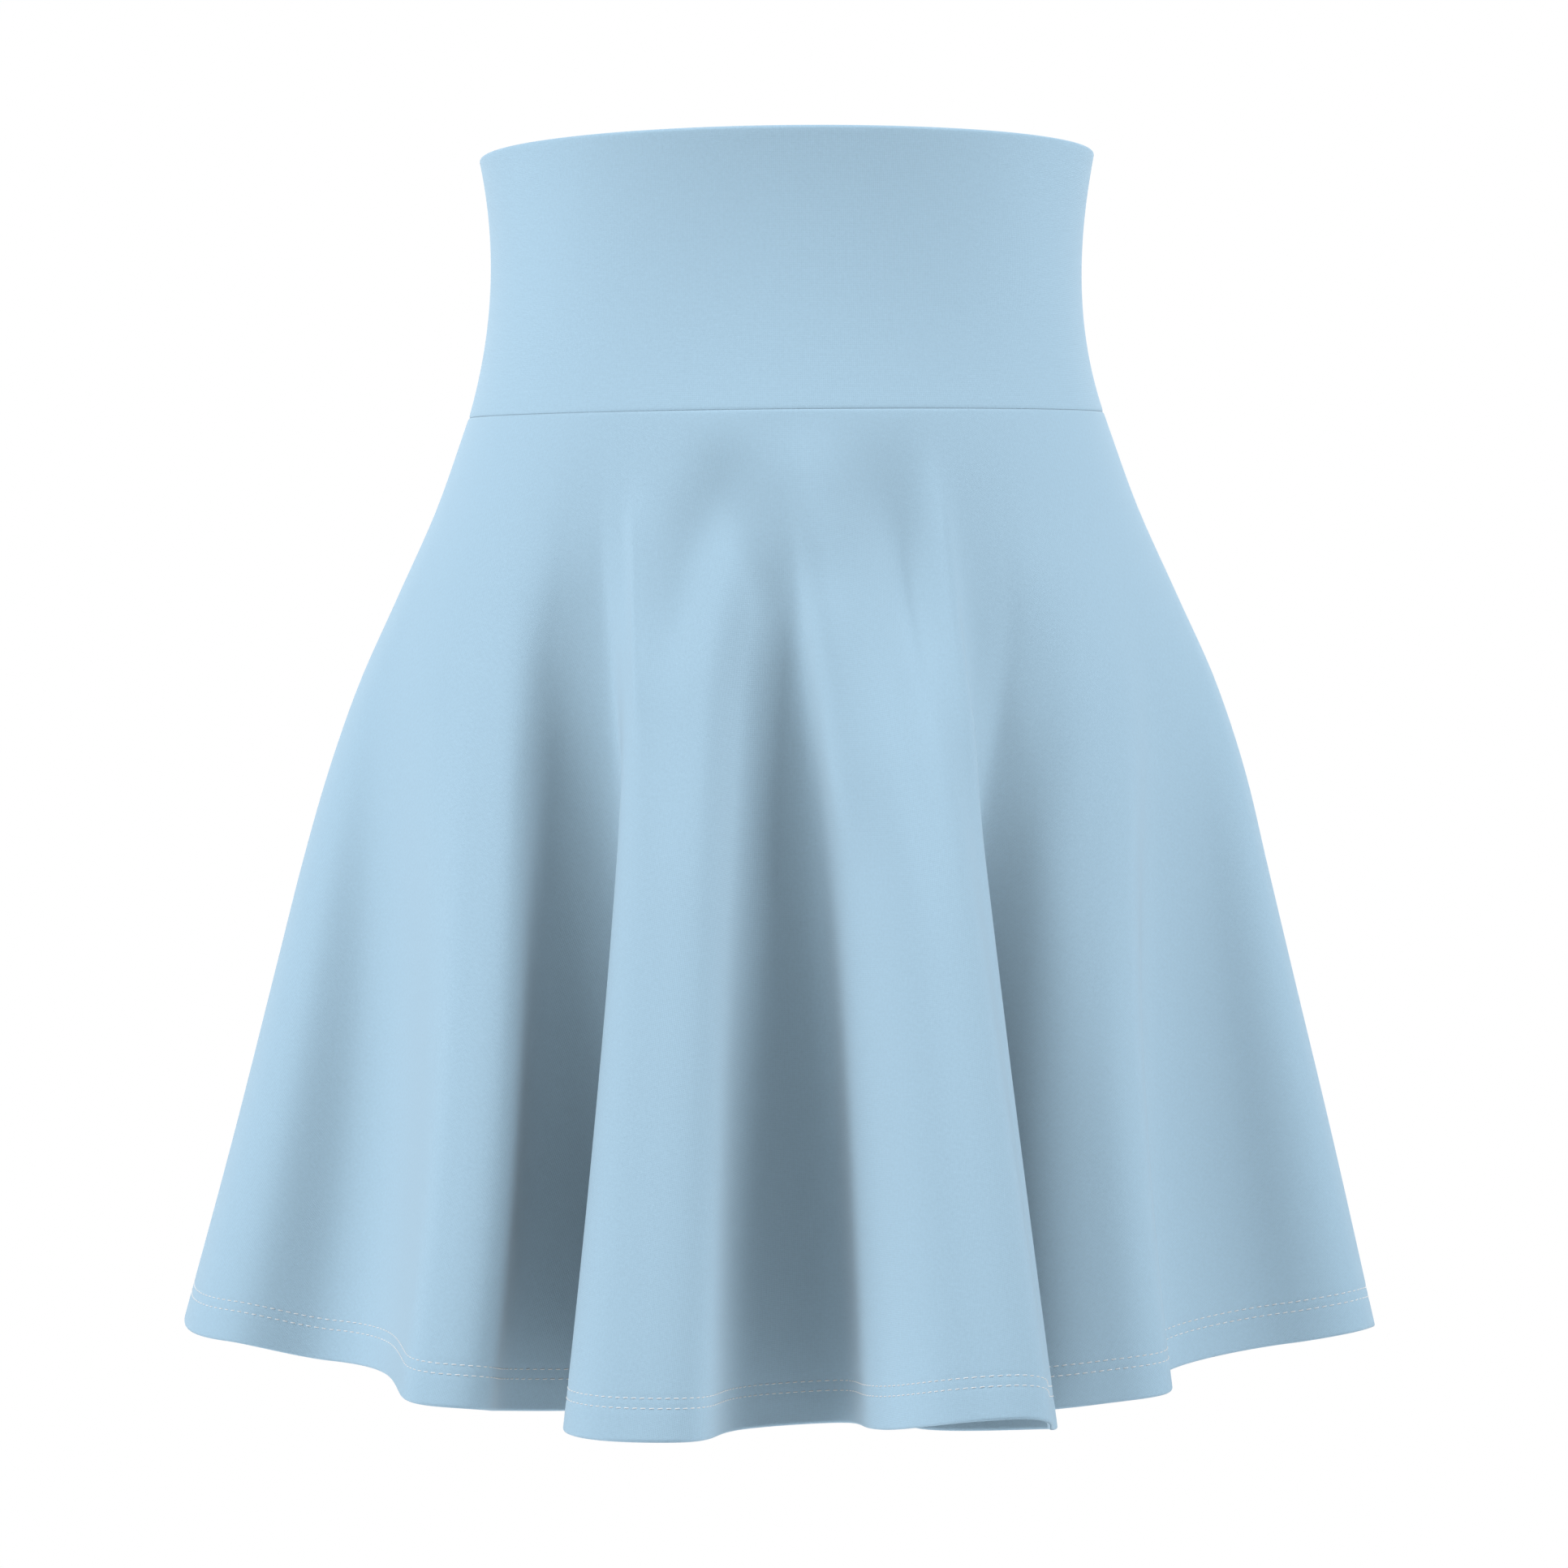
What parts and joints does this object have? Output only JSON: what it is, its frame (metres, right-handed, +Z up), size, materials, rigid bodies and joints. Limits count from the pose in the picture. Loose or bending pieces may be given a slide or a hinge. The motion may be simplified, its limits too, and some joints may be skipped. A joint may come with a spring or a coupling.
{
  "type": "skirt",
  "caption": "High-waisted flared skirt in pale blue knit, cut as a half circle, with a wide fitted doubled waistband and a topstitched hem, filled out as worn and hollow",
  "frame": {"origin": "centre of the waist, the narrowest ring of the waistband, where the wearer holds the skirt up", "axes": "+Z up, towards the band's top edge; -Y is the front; +X is the wearer's left"},
  "size_m": [0.4547, 0.4083, 0.4714],
  "materials": {
    "pale_blue_knit": "matte fine knit"
  },
  "bodies": {
    "root": {"waistband_front": "pale_blue_knit", "waistband_back": "pale_blue_knit", "skirt_front": "pale_blue_knit", "skirt_back": "pale_blue_knit"}
  },
  "joints": []
}
